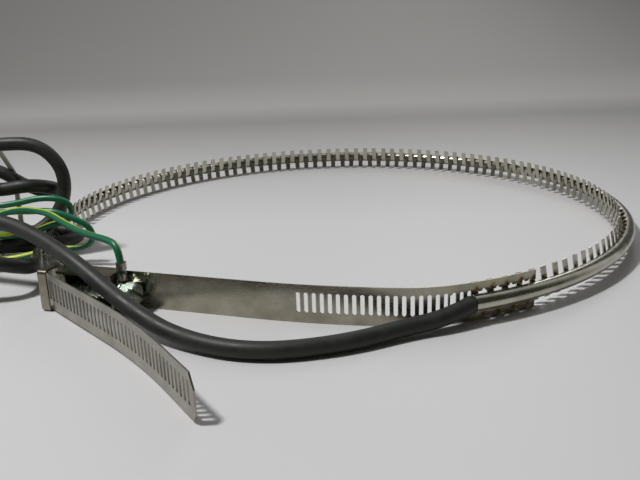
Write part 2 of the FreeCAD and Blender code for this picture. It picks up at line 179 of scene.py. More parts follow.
def heatStains(tree, coords, colour, stains):
    wobble = noiseNode(tree, coords, heat["wobbleMm"], 3)
    for place, sizeMm in stains:
        settings = {"operation": "DISTANCE", 1: tuple(c * mm for c in place)}
        distance = addNode(tree, "ShaderNodeVectorMath", settings, {0: coords}).outputs["Value"]
        ragged = addNode(tree, "ShaderNodeMath", {"operation": "MULTIPLY_ADD", 1: heat["wobbleReach"]},
                         {0: wobble, 2: distance}).outputs[0]
        for ringName, tone in (("outer", "straw"), ("inner", "brown")):
            farShare, farMore, nearShare, nearMore, strength = heat[ringName]
            far, near = (sizeMm * farShare + farMore) * mm, (sizeMm * nearShare + nearMore) * mm
            colour = mixColour(tree, rangeNode(tree, ragged, far, near, 0.0, strength), colour, heat[tone])
    return colour


# Electroplated zinc: bright, slightly green, with paler patches
def zincPlate():
    material, tree, shader = startMaterial("zinc plated steel")
    coords = objectCoords(tree)
    colour = rampNode(tree, noiseNode(tree, coords, 1.5, 4), [(0.3, "#8f9b90"), (0.7, "#b9c4b8")])
    tree.links.new(colour, shader.inputs["Base Color"])
    rough = rangeNode(tree, noiseNode(tree, coords, 0.5, 3), 0.3, 0.7, 0.2, 0.38)
    tree.links.new(rough, shader.inputs["Roughness"])
    shader.inputs["Metallic"].default_value = 1.0
    return material


def tinnedCopper(name, tint="#b7b3a8", rough=0.32):
    material, tree, shader = startMaterial(name)
    colour = rampNode(tree, noiseNode(tree, objectCoords(tree), 0.8, 3), [(0.3, "#8d897c"), (0.7, tint)])
    tree.links.new(colour, shader.inputs["Base Color"])
    shader.inputs["Metallic"].default_value = 1.0
    shader.inputs["Roughness"].default_value = rough
    return material


# Silicone rubber, extruded: dark grey-black, matt, with a dusty bloom and a slightly uneven skin
def siliconeRubber(name="black silicone rubber", tint="#262825", bloomTint="#343632", rough=0.5):
    material, tree, shader = startMaterial(name)
    coords = objectCoords(tree)
    bloom = noiseNode(tree, coords, 5, 5)
    colour = rampNode(tree, bloom, [(0.35, tint), (0.75, bloomTint)])
    tree.links.new(colour, shader.inputs["Base Color"])
    tree.links.new(rangeNode(tree, bloom, 0.3, 0.7, rough - 0.08, rough + 0.1), shader.inputs["Roughness"])
    bump = addNode(tree, "ShaderNodeBump", {"Strength": 0.15, "Distance": 0.00005},
                   {"Height": noiseNode(tree, coords, 0.5, 2)})
    tree.links.new(bump.outputs[0], shader.inputs["Normal"])
    shader.inputs["IOR"].default_value = 1.42
    return material


# Earth wire: PVC extruded in two colours, green with a broad yellow stripe that turns slowly. Lengths
# are metres from the terminal, and a turn by hand is (from, to, turns)
stripe = {"turnsPerMetre": 2.1, "forward": (0.12, 0.17, 0.7), "back": (0.27, 0.31, -0.2),
          "halfWidth": (0.165, 0.175), "yellow": "#b9c522", "green": "#0e6b4a"}


def earthSheath():
    material, tree, shader = startMaterial("green and yellow wire sheath")
    uv = addNode(tree, "ShaderNodeUVMap", {"uv_map": "alongAndRound"}).outputs[0]
    parts = addNode(tree, "ShaderNodeSeparateXYZ", {}, {0: uv}).outputs
    turned = addNode(tree, "ShaderNodeMath", {"operation": "MULTIPLY_ADD", 1: stripe["turnsPerMetre"]},
                     {0: parts[0], 2: parts[1]})
    # The wire was twisted by hand as it was folded, forwards and later a little back
    forward, back = (rangeNode(tree, parts[0], start, stop, 0.0, turns)
                     for start, stop, turns in (stripe["forward"], stripe["back"]))
    byHand = addNode(tree, "ShaderNodeMath", {"operation": "ADD"}, {0: forward, 1: back})
    shifted = addNode(tree, "ShaderNodeMath", {"operation": "ADD"},
                      {0: turned.outputs[0], 1: byHand.outputs[0]})
    phase = addNode(tree, "ShaderNodeMath", {"operation": "FRACT"}, {0: shifted.outputs[0]}).outputs[0]
    edge = addNode(tree, "ShaderNodeMath", {"operation": "PINGPONG", 1: 0.5}, {0: phase}).outputs[0]
    outside = rangeNode(tree, edge, *stripe["halfWidth"], 0.0, 1.0)
    colour = mixColour(tree, outside, stripe["yellow"], stripe["green"])
    tree.links.new(colour, shader.inputs["Base Color"])
    shader.inputs["Roughness"].default_value = 0.36
    shader.inputs["IOR"].default_value = 1.52
    return material


# Natural nylon, moulded: milky off-white, half dull
def naturalNylon():
    material, _, shader = startMaterial("natural nylon tie")
    shader.inputs["Base Color"].default_value = linearColour("#cfcdc3")
    shader.inputs["Roughness"].default_value = 0.4
    return material


# Glass yarn round the heating wire, off-white and soft
def glassYarn():
    material, tree, shader = startMaterial("glass yarn")
    colour = rampNode(tree, noiseNode(tree, objectCoords(tree), 0.6, 4), [(0.3, "#c9c3b2"), (0.7, "#e4dfd1")])
    tree.links.new(colour, shader.inputs["Base Color"])
    shader.inputs["Roughness"].default_value = 0.8
    return material


# Places worked out from the same named sizes as the solids

ring = {"radius": 152.0, "startDeg": -71.9, "turnDeg": 249.9, "leftRadius": 240.0, "leftLength": 85.9}
strap = {"startDeg": -60.2, "innerGap": 0.5, "thickness": 0.6}
clamp = {"axisPoint": (-93.998, -123.491, 8.3), "along": (0.94997, -0.31233, 0.0)}


def ringPoint(along):
    # a plan point on the comb's inner face, that many mm from its front end
    circle = ring["radius"] * math.radians(ring["turnDeg"])
    turned = min(along, circle) / ring["radius"] + math.radians(ring["startDeg"])
    x, y = ring["radius"] * math.cos(turned), ring["radius"] * math.sin(turned)
    heading = turned + math.pi / 2
    if along > circle:
        bend = (along - circle) / ring["leftRadius"]
        x += ring["leftRadius"] * (math.sin(heading + bend) - math.sin(heading))
        y -= ring["leftRadius"] * (math.cos(heading + bend) - math.cos(heading))
    return x, y


def ringLength():
    return ring["radius"] * math.radians(ring["turnDeg"]) + ring["leftLength"]


def weldPlace(fromForkEnd, height):
    angle = math.radians(strap["startDeg"]) - fromForkEnd / ring["radius"]
    radius = ring["radius"] + strap["innerGap"] + strap["thickness"]
    return (radius * math.cos(angle), radius * math.sin(angle), height)


clampFrame = Matrix.Identity(4)
clampAlong = Vector(clamp["along"]).normalized()
clampIn = up.cross(clampAlong)
for row in range(3):
    clampFrame[row][0], clampFrame[row][1], clampFrame[row][2] = clampAlong[row], clampIn[row], up[row]
    clampFrame[row][3] = clamp["axisPoint"][row] * mm

# Camera: the photograph's viewpoint, found from the ring's ellipse and the strap's width

view = {"focalPixels": 740.0, "widthPixels": 640, "sensorMm": 36, "pitch": 0.302280575, "roll": 0.0334104532,
        "place": (-9.8656, -410.7863, 117.8136)}


def makeCamera():
    right = Vector((1, 0, 0))
    forward = Vector((0, math.cos(view["pitch"]), -math.sin(view["pitch"])))
    over = Vector((0, math.sin(view["pitch"]), math.cos(view["pitch"])))
    c, s = math.cos(view["roll"]), math.sin(view["roll"])
    axes = (c * right - s * over, s * right + c * over, -forward)
    data = bpy.data.cameras.new("camera")
    data.sensor_width = view["sensorMm"]
    data.lens = view["sensorMm"] * view["focalPixels"] / view["widthPixels"]
    data.clip_start = 0.01
    camera = bpy.data.objects.new("camera", data)
    matrix = Matrix.Identity(4)
    for row in range(3):
        for column in range(3):
            matrix[row][column] = axes[column][row]
        matrix[row][3] = view["place"][row] * mm
    camera.matrix_world = matrix
    bpy.context.scene.collection.objects.link(camera)
    bpy.context.scene.camera = camera


makeCamera()
print("camera made")


# Cords: each one spline from its exit to the bare end, through its turns in the hank

def splinePoints(points):
    # the smooth line that the route's points control, read from a NURBS spline
    curve = bpy.data.curves.new("route", "CURVE")
    curve.dimensions = "3D"
    curve.resolution_u = 8
    spline = curve.splines.new("NURBS")
    spline.points.add(len(points) - 1)
    for target, point in zip(spline.points, points):
        target.co = (*(c * mm for c in point), 1)
    spline.order_u = 3
    spline.use_endpoint_u = True
    holder = bpy.data.objects.new("route", curve)
    bpy.context.scene.collection.objects.link(holder)
    mesh = bpy.data.meshes.new_from_object(holder)
    line = [v.co.copy() for v in mesh.vertices]
    bpy.data.objects.remove(holder)
    bpy.data.meshes.remove(mesh)
    return [p for i, p in enumerate(line) if i == 0 or (p - line[i - 1]).length > 1e-6]


def evenly(line, step):
    gone = [0.0]
    for a, b in zip(line, line[1:]):
        gone.append(gone[-1] + (b - a).length)
    count = max(2, round(gone[-1] / step))
    result, at = [], 0
    for i in range(count + 1):
        target = gone[-1] * i / count
        while at < len(gone) - 2 and gone[at + 1] < target:
            at += 1
        share = (target - gone[at]) / (gone[at + 1] - gone[at])
        result.append(line[at].lerp(line[at + 1], min(max(share, 0), 1)))
    return result, gone[-1]


def tube(name, line, radiusAt, material, sides=16):
    # radiusAt gives the radius at a distance; the UV runs in metres along and from 0 to 1 round
    verts, faces, uvs = [], [], []
    tangent = (line[1] - line[0]).normalized()
    side = tangent.orthogonal().normalized()
    gone = 0.0
    for i, point in enumerate(line):
        before, after = line[max(i - 1, 0)], line[min(i + 1, len(line) - 1)]
        turned = (after - before).normalized()
        side = (side - turned * side.dot(turned)).normalized()
        other = turned.cross(side)
        if i:
            gone += (point - before).length
        for k in range(sides):
            a = 2 * math.pi * k / sides
            verts.append(point + (side * math.cos(a) + other * math.sin(a)) * radiusAt(gone))
        uvs.append(gone)
    for i in range(len(line) - 1):
        for k in range(sides):
            a, b = i * sides + k, i * sides + (k + 1) % sides
            faces.append((a, b, b + sides, a + sides))
    last = (len(line) - 1) * sides
    faces.append(tuple(range(sides - 1, -1, -1)))
    faces.append(tuple(range(last, last + sides)))
    mesh = bpy.data.meshes.new(name)
    mesh.from_pydata([tuple(v) for v in verts], [], faces)
    layer = mesh.uv_layers.new(name="alongAndRound")
    for face in mesh.polygons:
        first = face.vertices[0] % sides
        for loop, vertex in zip(face.loop_indices, face.vertices):
            place = vertex % sides
            # The last strip's far edge is a whole turn, not the start again
            if len(face.vertices) == 4 and place < first - 1:
                place += sides
            layer.data[loop].uv = (uvs[vertex // sides], place / sides)
    smoothMesh(mesh, 50)
    return linkPiece(name, mesh, material)


def turnPoints(turn, heading):
    # control points of a half turn between two runs given as (y, z), in the plane that joins them
    (yFrom, zFrom), (yTo, zTo) = turn["from"], turn["to"]
    radius = math.hypot(yTo - yFrom, zTo - zFrom) / 2
    centre = turn["x"] - heading * radius
    # Four points of an octagon round the half circle
    reach = radius / math.cos(math.radians(22.5))
    points = []
    for angle in (67.5, 22.5, -22.5, -67.5):
        share = math.sin(math.radians(angle)) / math.sin(math.radians(67.5)) / 2
        points.append((centre + heading * reach * math.cos(math.radians(angle)),
                       (yFrom + yTo) / 2 + (yFrom - yTo) * share,
                       (zFrom + zTo) / 2 + (zFrom - zTo) * share))
    return points


# Each path lists control points in mm from the exit to the bare end; a dictionary is a half turn at x
leadA = {
    "diameter": 6.7,
    "path": [
        (45.51, -149.14, 7.63), (36.11, -154.37, 5.35), (22.0, -158.0, 4.0), (-4.0, -170.5, 3.6),
        (-36.0, -175.0, 3.6), (-65.0, -160.5, 4.2), (-87.0, -143.0, 11.0), (-108.0, -126.5, 22.0),
        (-126.0, -110.5, 27.5), (-144.5, -96.5, 31.5), (-162.0, -89.5, 33.5), (-181.0, -83.0, 34.0),
        (-195.0, -73.5, 33.5), (-203.0, -61.5, 33.0), (-204.5, -50.0, 31.5), (-211.0, -43.0, 29.5),
        {"x": -239.0, "from": (-41.4, 27.0), "to": (-41.4, 55.5)},
        (-212.0, -41.4, 55.5), (-190.0, -41.4, 57.0), (-170.0, -41.4, 58.4), (-149.9, -41.4, 58.4),
        (-139.0, -41.4, 46.7), (-138.6, -42.0, 32.0), (-144.5, -45.5, 20.0), (-157.0, -51.0, 12.5),
        (-168.0, -56.5, 9.5),
        (-185.0, -58.0, 7.0), (-205.0, -54.0, 6.5), (-222.0, -49.0, 6.0), (-236.0, -45.5, 8.0),
        (-248.0, -44.0, 24.0), (-262.0, -44.0, 26.0),
    ],
}
leadB = {
    "diameter": 6.7,
    "path": [
        (-142.36, -83.44, 8.75), (-141.19, -92.28, 10.0), (-145.0, -103.5, 15.0), (-157.0, -109.0, 19.0),
        (-174.0, -107.5, 19.5), (-192.0, -101.0, 18.0), (-209.0, -89.5, 16.0), (-221.0, -76.5, 15.0),
        (-226.5, -63.0, 15.0), (-227.5, -50.0, 15.5), (-226.0, -38.0, 15.0), (-218.0, -26.5, 12.0),
        (-202.0, -22.0, 8.5), (-180.0, -22.0, 7.0),
        {"x": -138.0, "from": (-21.5, 7.0), "to": (-48.5, 7.5)},
        (-167.0, -48.0, 6.5), (-185.0, -46.0, 6.5), (-205.0, -41.5, 6.5), (-223.0, -37.0, 6.5),
        {"x": -254.0, "from": (-35.0, 8.0), "to": (-33.5, 48.0)},
        (-222.0, -34.0, 47.5), (-208.0, -39.0, 44.5), (-192.0, -45.5, 40.5), (-178.0, -48.4, 37.0),
        (-168.0, -48.4, 36.5),
        {"x": -146.0, "from": (-48.4, 38.6), "to": (-21.5, 28.0)},
        (-166.5, -21.0, 32.0), (-180.0, -21.5, 42.0), (-197.0, -22.5, 45.0), (-215.0, -24.0, 42.0),
        (-233.0, -25.5, 34.0), (-248.0, -27.5, 23.5), (-262.0, -28.0, 22.0),
    ],
}
earthWire = {
    "diameter": 3.0,
    "path": [
        (-91.43, -124.33, 17.3), (-91.43, -124.33, 28.6), (-98.5, -116.0, 29.2), (-109.0, -107.0, 28.8),
        (-119.0, -97.0, 29.6), (-128.0, -86.5, 30.6), (-135.0, -78.0, 31.2), (-142.5, -71.5, 31.0),
        (-152.0, -66.5, 31.0), (-165.0, -63.2, 28.0), (-175.0, -62.4, 23.5),
        {"x": -188.0, "from": (-62.3, 22.0), "to": (-63.6, 34.6)},
        (-168.0, -62.8, 31.5), (-155.0, -62.5, 33.0), (-145.0, -62.5, 35.2),
        {"x": -130.5, "from": (-62.5, 34.6), "to": (-58.5, 22.0)},
        (-143.0, -58.3, 20.5), (-153.0, -58.2, 16.0), (-166.0, -57.5, 15.0),
        {"x": -177.0, "from": (-57.0, 14.8), "to": (-59.0, 27.5)},
        (-163.0, -59.5, 28.0), (-150.0, -62.0, 28.5), (-138.0, -65.5, 29.5), (-128.0, -65.5, 25.0),
        (-122.0, -65.0, 21.5), (-119.8, -64.0, 14.5), (-125.2, -62.5, 9.4), (-137.0, -62.5, 9.3),
        (-147.0, -64.5, 8.5), (-157.0, -67.5, 6.8), (-168.0, -68.5, 6.2),
        {"x": -188.0, "from": (-67.0, 7.0), "to": (-66.8, 20.0)},
        (-172.0, -66.8, 19.5),
        {"x": -157.5, "from": (-66.8, 19.0), "to": (-53.8, 19.5)},
        (-170.0, -53.3, 21.0), (-179.0, -53.6, 23.0), (-184.0, -58.8, 24.5), (-190.0, -59.0, 24.5),
    ],
}


def cordLine(cord):
    points = []
    for stop in cord["path"]:
        if isinstance(stop, dict):
            points += turnPoints(stop, 1 if stop["x"] > points[-1][0] else -1)
        else:
            points.append(stop)
    return splinePoints(points)


cordStep = 2.2  # mm between a cord's rings


def makeCord(name, cord, material, nodes):
    line, length = evenly(cordLine(cord), cordStep * mm)
    radius = cord["diameter"] / 2 * mm
    piece = tube(name, line, lambda gone: radius, material)
    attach(piece, "heater")
    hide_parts(*nodes)
    print(name, "length %.3f m" % length)
    return piece, line, length


rubber = siliconeRubber()
sheath = earthSheath()
leadPieceA, leadLineA, leadLengthA = makeCord("leadA", leadA, rubber, ["lead_a", "lead_hank"])
leadPieceB, leadLineB, leadLengthB = makeCord("leadB", leadB, rubber, ["lead_b", "lead_hank"])
earthPiece, earthLine, earthLength = makeCord("earthWire", earthWire, sheath,
                                              ["earth_wire", "earth_hank"])
print("cords made")

# Comb channel: one sheet, its web bent round the rope and its fingers cut to a staggered comb

comb = {
    "pitch": 7.02, "fingerWidth": 3.1, "sheet": 0.5, "outerRadius": 3.3, "centreHeight": 8.3,
    "lipDeg": 105.0, "upperTip": 15.45, "lowerTip": 1.45, "cornerCut": 0.08, "inwardDeg": 11.0, "lean": 3.0,
    "sideShare": 0.4, "seed": 11, "pathStep": 1.6, "webSteps": 22, "fingerSteps": 5,
}


def sheetOutline(steps):
    # a finger's two faces in section, as (outward, height) from the lip to the tip
    outer, inner = [], []
    for i in range(steps + 1):
        angle = math.radians(comb["lipDeg"] + (180 - comb["lipDeg"]) * i / steps)
        for radius, side in ((comb["outerRadius"], outer), (comb["outerRadius"] - comb["sheet"], inner)):
            side.append((comb["outerRadius"] + radius * math.cos(angle), radius * math.sin(angle)))
    return outer, inner


def fingerMesh(name, reach, side):
    # x is outward, y down and z along the comb; side is 1 for a finger that rises from the lower lip
    outer, inner = sheetOutline(comb["fingerSteps"])
    inward = math.tan(math.radians(comb["inwardDeg"]))
    for drop in (0.5, 0.85, 1.0):
        shift = inward * reach * drop
        outer.append((-shift, -reach * drop))
        inner.append((comb["sheet"] - shift, -reach * drop))
    section = outer + inner[::-1]
    half = comb["fingerWidth"] / 2
    verts, faces = [], []
    count = len(section)
    tip = (len(outer) - 1, len(outer))
    for z in (-1, 1):
        for i, (d, h) in enumerate(section):
            cut = comb["cornerCut"] if i in tip else 0
            verts.append((d * mm, h * side * mm, z * (half - cut) * mm))
    for i in range(count):
        j = (i + 1) % count
        faces.append((i, j, j + count, i + count))
    # The two side faces are strips of quads between the sheet's faces
    for i in range(len(outer) - 1):
        a, b, c, d = i, i + 1, count - 2 - i, count - 1 - i
        faces.append((a, d, c, b))
        faces.append((a + count, b + count, c + count, d + count))
    return outwardMesh(name, verts, faces, 40)


def polyCurve(name, points, closed=False):
    curve = bpy.data.curves.new(name, "CURVE")
    curve.dimensions = "3D"
    curve.twist_mode = "Z_UP"
    spline = curve.splines.new("POLY")
    spline.points.add(len(points) - 1)
    for target, point in zip(spline.points, points):
        target.co = (*(c * mm for c in point), 1)
    spline.use_cyclic_u = closed
    holder = bpy.data.objects.new(name, curve)
    bpy.context.scene.collection.objects.link(holder)
    return holder


def webOutline():
    points = []
    steps = comb["webSteps"]
    innerRadius = comb["outerRadius"] - comb["sheet"]
    for radius, order in ((comb["outerRadius"], range(steps + 1)), (innerRadius, range(steps, -1, -1))):
        for i in order:
            angle = math.radians(comb["lipDeg"] * (2 * i / steps - 1))
            points.append((comb["outerRadius"] + radius * math.cos(angle), radius * math.sin(angle), 0))
    return polyCurve("web outline", points, True)


def combTree(upperFinger, lowerFinger, outline, material):
    tree = bpy.data.node_groups.new("comb", "GeometryNodeTree")
    face = tree.interface
    face.new_socket("Path", in_out="INPUT", socket_type="NodeSocketGeometry")
    sockets = {}
    for name, kind, value in (
        ("Pitch", "NodeSocketFloat", comb["pitch"] * mm), ("Length", "NodeSocketFloat", ringLength() * mm),
        ("Lean", "NodeSocketFloat", math.radians(comb["lean"])), ("Seed", "NodeSocketInt", comb["seed"]),
    ):
        socket = face.new_socket(name, in_out="INPUT", socket_type=kind)
        socket.default_value = value
        sockets[name] = socket.identifier
    for name in ("Upper finger", "Lower finger", "Outline"):
        sockets[name] = face.new_socket(name, in_out="INPUT", socket_type="NodeSocketObject").identifier
    socket = face.new_socket("Material", in_out="INPUT", socket_type="NodeSocketMaterial")
    sockets["Material"] = socket.identifier
    face.new_socket("Comb", in_out="OUTPUT", socket_type="NodeSocketGeometry")
    given = addNode(tree, "NodeGroupInput").outputs

    def calc(operation, first, second=None):
        node = addNode(tree, "ShaderNodeMath", {"operation": operation})
        for slot, value in enumerate((first, second)):
            if isinstance(value, (int, float)):
                node.inputs[slot].default_value = value
            elif value is not None:
                tree.links.new(value, node.inputs[slot])
        return node.outputs[0]

    def shapeOf(name):
        return addNode(tree, "GeometryNodeObjectInfo", {}, {"Object": given[name]}).outputs["Geometry"]

    web = addNode(tree, "GeometryNodeCurveToMesh", {"Fill Caps": True},
                  {"Curve": given["Path"], "Profile Curve": shapeOf("Outline")}).outputs[0]
    usable = calc("SUBTRACT", given["Length"], comb["fingerWidth"] * mm)
    gaps = calc("FLOOR", calc("DIVIDE", usable, given["Pitch"]))
    spare = calc("SUBTRACT", given["Length"], calc("MULTIPLY", gaps, given["Pitch"]))
    margin = calc("DIVIDE", spare, 2.0)
    share = calc("DIVIDE", margin, given["Length"])
    trimmed = addNode(tree, "GeometryNodeTrimCurve", {"mode": "FACTOR"}, {"Curve": given["Path"]})
    tree.links.new(share, trimmed.inputs[2])
    tree.links.new(calc("SUBTRACT", 1.0, share), trimmed.inputs[3])
    count = calc("ADD", calc("MULTIPLY", gaps, 2.0), 1.0)
    spots = addNode(tree, "GeometryNodeCurveToPoints", {"mode": "COUNT"},
                    {"Curve": trimmed.outputs[0], "Count": count}).outputs
    index = addNode(tree, "GeometryNodeInputIndex").outputs[0]
    odd = calc("MODULO", index, 2.0)
    tilt = addNode(tree, "FunctionNodeRandomValue", {"data_type": "FLOAT_VECTOR"}, {"Seed": given["Seed"]})
    lean = addNode(tree, "ShaderNodeCombineXYZ", {},
                   {"X": given["Lean"], "Y": calc("MULTIPLY", given["Lean"], comb["sideShare"])})
    spread = addNode(tree, "ShaderNodeVectorMath", {"operation": "SCALE", "Scale": -1.0},
                     {0: lean.outputs[0]})
    tree.links.new(spread.outputs[0], tilt.inputs["Min"])
    tree.links.new(lean.outputs[0], tilt.inputs["Max"])
    tiltTurn = addNode(tree, "FunctionNodeEulerToRotation", {}, {0: tilt.outputs[0]}).outputs[0]
    turned = addNode(tree, "FunctionNodeRotateRotation", {"rotation_space": "LOCAL"},
                     {0: spots["Rotation"], 1: tiltTurn}).outputs[0]
    joined = addNode(tree, "GeometryNodeJoinGeometry")
    tree.links.new(web, joined.inputs[0])
    for name, pick in (("Upper finger", calc("SUBTRACT", 1.0, odd)), ("Lower finger", odd)):
        placed = addNode(tree, "GeometryNodeInstanceOnPoints", {},
                         {"Points": spots["Points"], "Selection": pick, "Instance": shapeOf(name),
                          "Rotation": turned})
        tree.links.new(placed.outputs[0], joined.inputs[0])
    real = addNode(tree, "GeometryNodeRealizeInstances", {}, {0: joined.outputs[0]})
    dressed = addNode(tree, "GeometryNodeSetMaterial", {},
                      {"Geometry": real.outputs[0], "Material": given["Material"]})
    addNode(tree, "NodeGroupOutput", {}, {0: dressed.outputs[0]})
    return tree, sockets


def flatten(name, holder):
    # the evaluated object as a plain mesh piece, with the helper object gone
    graph = bpy.context.evaluated_depsgraph_get()
    mesh = bpy.data.meshes.new_from_object(holder.evaluated_get(graph))
    mesh.name = name
    bpy.data.objects.remove(holder)
    return linkPiece(name, mesh)


def makeComb(material):
    length = ringLength()
    count = round(length / comb["pathStep"])
    path = []
    for i in range(count + 1):
        path.append((*ringPoint(length * i / count), comb["centreHeight"]))
    holder = polyCurve("comb path", path)
    rise = comb["upperTip"] - comb["centreHeight"]
    drop = comb["centreHeight"] - comb["lowerTip"]
    upperFinger = linkPiece("upper finger", fingerMesh("upper finger", rise, 1))
    lowerFinger = linkPiece("lower finger", fingerMesh("lower finger", drop, -1))
    outline = webOutline()
    tree, sockets = combTree(upperFinger, lowerFinger, outline, material)
    modifier = holder.modifiers.new("comb", "NODES")
    modifier.node_group = tree
    for name, value in (("Upper finger", upperFinger), ("Lower finger", lowerFinger),
                        ("Outline", outline), ("Material", material)):
        modifier[sockets[name]] = value
    piece = flatten("combChannel", holder)
    for helper in (upperFinger, lowerFinger, outline):
        bpy.data.objects.remove(helper)
    smoothMesh(piece.data, 38)
    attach(piece, "heater")
    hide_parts("comb_channel")
    return piece


combPiece = makeComb(rolledStainless("comb stainless", "#cbc8ba", "#aeab9c", (0.18, 0.3)))
print("comb made,", len(combPiece.data.polygons), "faces")

# Straps and clamp sheet keep their CAD shapes

# Each row of welds: its places along the fork, its height and its stains' size, all in mm
welds = (((0.57, 7.59, 14.61, 21.63, 28.65), 13.1, 3.8), ((4.08, 11.1, 18.12, 25.14), 2.4, 3.1))
stains = [(weldPlace(place, height), sizeMm) for places, height, sizeMm in welds for place in places]
frontFinish = ("#b0ab9b", "#93907f", (0.2, 0.3))
paintNode("front_strap", rolledStainless("front strap stainless", *frontFinish, stains))
paintNode("rear_strap", rolledStainless("rear strap stainless", "#b0ada3", "#96938a"))

# The last three slots before the lead run on in the fork, so three bars stand across its opening
forkBars = {"places": (30.16, 33.34, 36.51), "width": 1.53, "low": 4.2, "high": 12.0,
            "inner": 0.52, "outer": 1.08}


def makeForkBars(material):
    verts, faces = [], []
    for place in forkBars["places"]:
        angle = math.radians(strap["startDeg"]) - place / ring["radius"]
        out = Vector((math.cos(angle), math.sin(angle), 0))
        along = Vector((-math.sin(angle), math.cos(angle), 0))
        base = len(verts)
        for outward in (forkBars["inner"], forkBars["outer"]):
            for side in (-1, 1):
                for height in (forkBars["low"], forkBars["high"]):
                    spot = out * (ring["radius"] + outward) + along * side * forkBars["width"] / 2
                    verts.append((spot + up * height) * mm)
        faces += [tuple(base + i for i in face) for face in boxFaces]
    piece = meshPiece("forkBars", verts, faces, material)
    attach(piece, "heater")


makeForkBars(rolledStainless("fork bar stainless", *frontFinish))
clampSteel = rolledStainless("clamp stainless", "#a29d8c", "#7f7a68", (0.24, 0.4))
for name in ("clamp_housing", "keeper_loop"):
    paintNode(name, clampSteel)
paintNode("rope_jacket", siliconeRubber("rope jacket silicone", "#3a3530", "#454039", 0.55))
paintNode("rope_core", glassYarn())
zinc = zincPlate()
paintNode("star_washer", zinc)
paintNode("earth_terminal", tinnedCopper("tinned terminal"))
strand = tinnedCopper("tinned strands", "#a8a495", 0.38)
for name in ("earth_strands", "splice_a", "splice_b", "lead_a_conductor", "lead_b_conductor",
             "earth_conductor"):
    paintNode(name, strand)

# Cable tie: natural nylon, drawn round the hank's cords where they cross its plane

tie = {"x": -173.6, "width": 2.4, "thickness": 1.0, "gap": 0.15, "yRange": (-72.0, -14.0),
       "headSize": (4.6, 4.2, 3.4), "headRise": 0.3, "headY": -40, "roundSteps": 24, "bandSteps": 160}


def crossings(line, radius):
    # (y, z, radius) in mm of each place where a cord passes through the tie's plane
    found = []
    for a, b in zip(line, line[1:]):
        if (a.x / mm - tie["x"]) * (b.x / mm - tie["x"]) <= 0:
            share = (tie["x"] * mm - a.x) / ((b.x - a.x) or 1)
            point = a.lerp(b, share) / mm
            if tie["yRange"][0] < point.y < tie["yRange"][1]:
                found.append((point.y, point.z, radius))
    return found


def hullOf(points):
    # the taut outline round flat points
    points = sorted(set(points))

    def half(ordered):
        side = []
        for p in ordered:
            while len(side) > 1 and ((side[-1][0] - side[-2][0]) * (p[1] - side[-2][1])
                                     - (side[-1][1] - side[-2][1]) * (p[0] - side[-2][0])) <= 0:
                side.pop()
            side.append(p)
        return side[:-1]

    return half(points) + half(points[::-1])


def makeTie():
    spots = crossings(leadLineA, leadA["diameter"] / 2) + crossings(leadLineB, leadB["diameter"] / 2)
    spots += crossings(earthLine, earthWire["diameter"] / 2)
    rings = []
    for extra in (tie["gap"], tie["gap"] + tie["thickness"]):
        edge = []
        for y, z, radius in spots:
            for k in range(tie["roundSteps"]):
                angle = 2 * math.pi * k / tie["roundSteps"]
                edge.append((y + (radius + extra) * math.cos(angle), z + (radius + extra) * math.sin(angle)))
        rings.append([Vector((0, y, z)) for y, z in hullOf(edge)])
    # Both outlines are read at the same angles about their middle, so that the band closes
    middle = sum(rings[1], Vector()) / len(rings[1])
    steps = tie["bandSteps"]
    loops = []
    for outline in rings:
        loop = []
        for k in range(steps):
            angle = 2 * math.pi * k / steps
            heading = Vector((0, math.cos(angle), math.sin(angle)))
            best = 0.0
            for a, b in zip(outline, outline[1:] + outline[:1]):
                first, second = a - middle, b - middle
                cross = heading.y * (second.z - first.z) - heading.z * (second.y - first.y)
                if abs(cross) > 1e-9:
                    reach = (first.y * (second.z - first.z) - first.z * (second.y - first.y)) / cross
                    along = (first.y * heading.z - first.z * heading.y) / cross
                    if reach > 0 and -1e-6 <= along <= 1 + 1e-6:
                        best = max(best, reach)
            loop.append(middle + heading * best)
        loops.append(loop)
    verts, faces = [], []
    for half, loop in ((-1, loops[0]), (1, loops[0]), (1, loops[1]), (-1, loops[1])):
        verts += [((tie["x"] + half * tie["width"] / 2) * mm, p.y * mm, p.z * mm) for p in loop]
    for band in range(4):
        for k in range(steps):
            a, b = band * steps + k, band * steps + (k + 1) % steps
            c, d = (band + 1) % 4 * steps + (k + 1) % steps, (band + 1) % 4 * steps + k
            faces.append((a, b, c, d))
    # The lock is a small block low on the band, towards the hank's middle
    low = min(loops[1], key=lambda p: p.z + 0.15 * abs(p.y - tie["headY"]))
    long, wide, high = tie["headSize"]
    base = len(verts)
    for dx in (-wide / 2, wide / 2):
        for dy in (-long / 2, long / 2):
            for dz in (tie["headRise"], high):
                verts.append(((tie["x"] + dx) * mm, (low.y + dy) * mm, (low.z + dz) * mm))
    faces += [tuple(base + i for i in face) for face in boxFaces]
    piece = meshPiece("cableTie", verts, faces, naturalNylon(), 30)
    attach(piece, "heater")
    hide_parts("hank_tie")


makeTie()
print("tie made")

# Boots: a slightly wider collar against the comb's end and a thin sleeve along the lead. Sizes are in
# mm from the lead's exit, with the collar and the neck before it

boots = {"collarRadius": 3.55, "collarLength": 2.5, "neckRadius": 2.3, "neckLength": 2.1,
         "sleeveLength": 24.0, "sleeveRadius": 3.4, "tipRadius": 3.37}


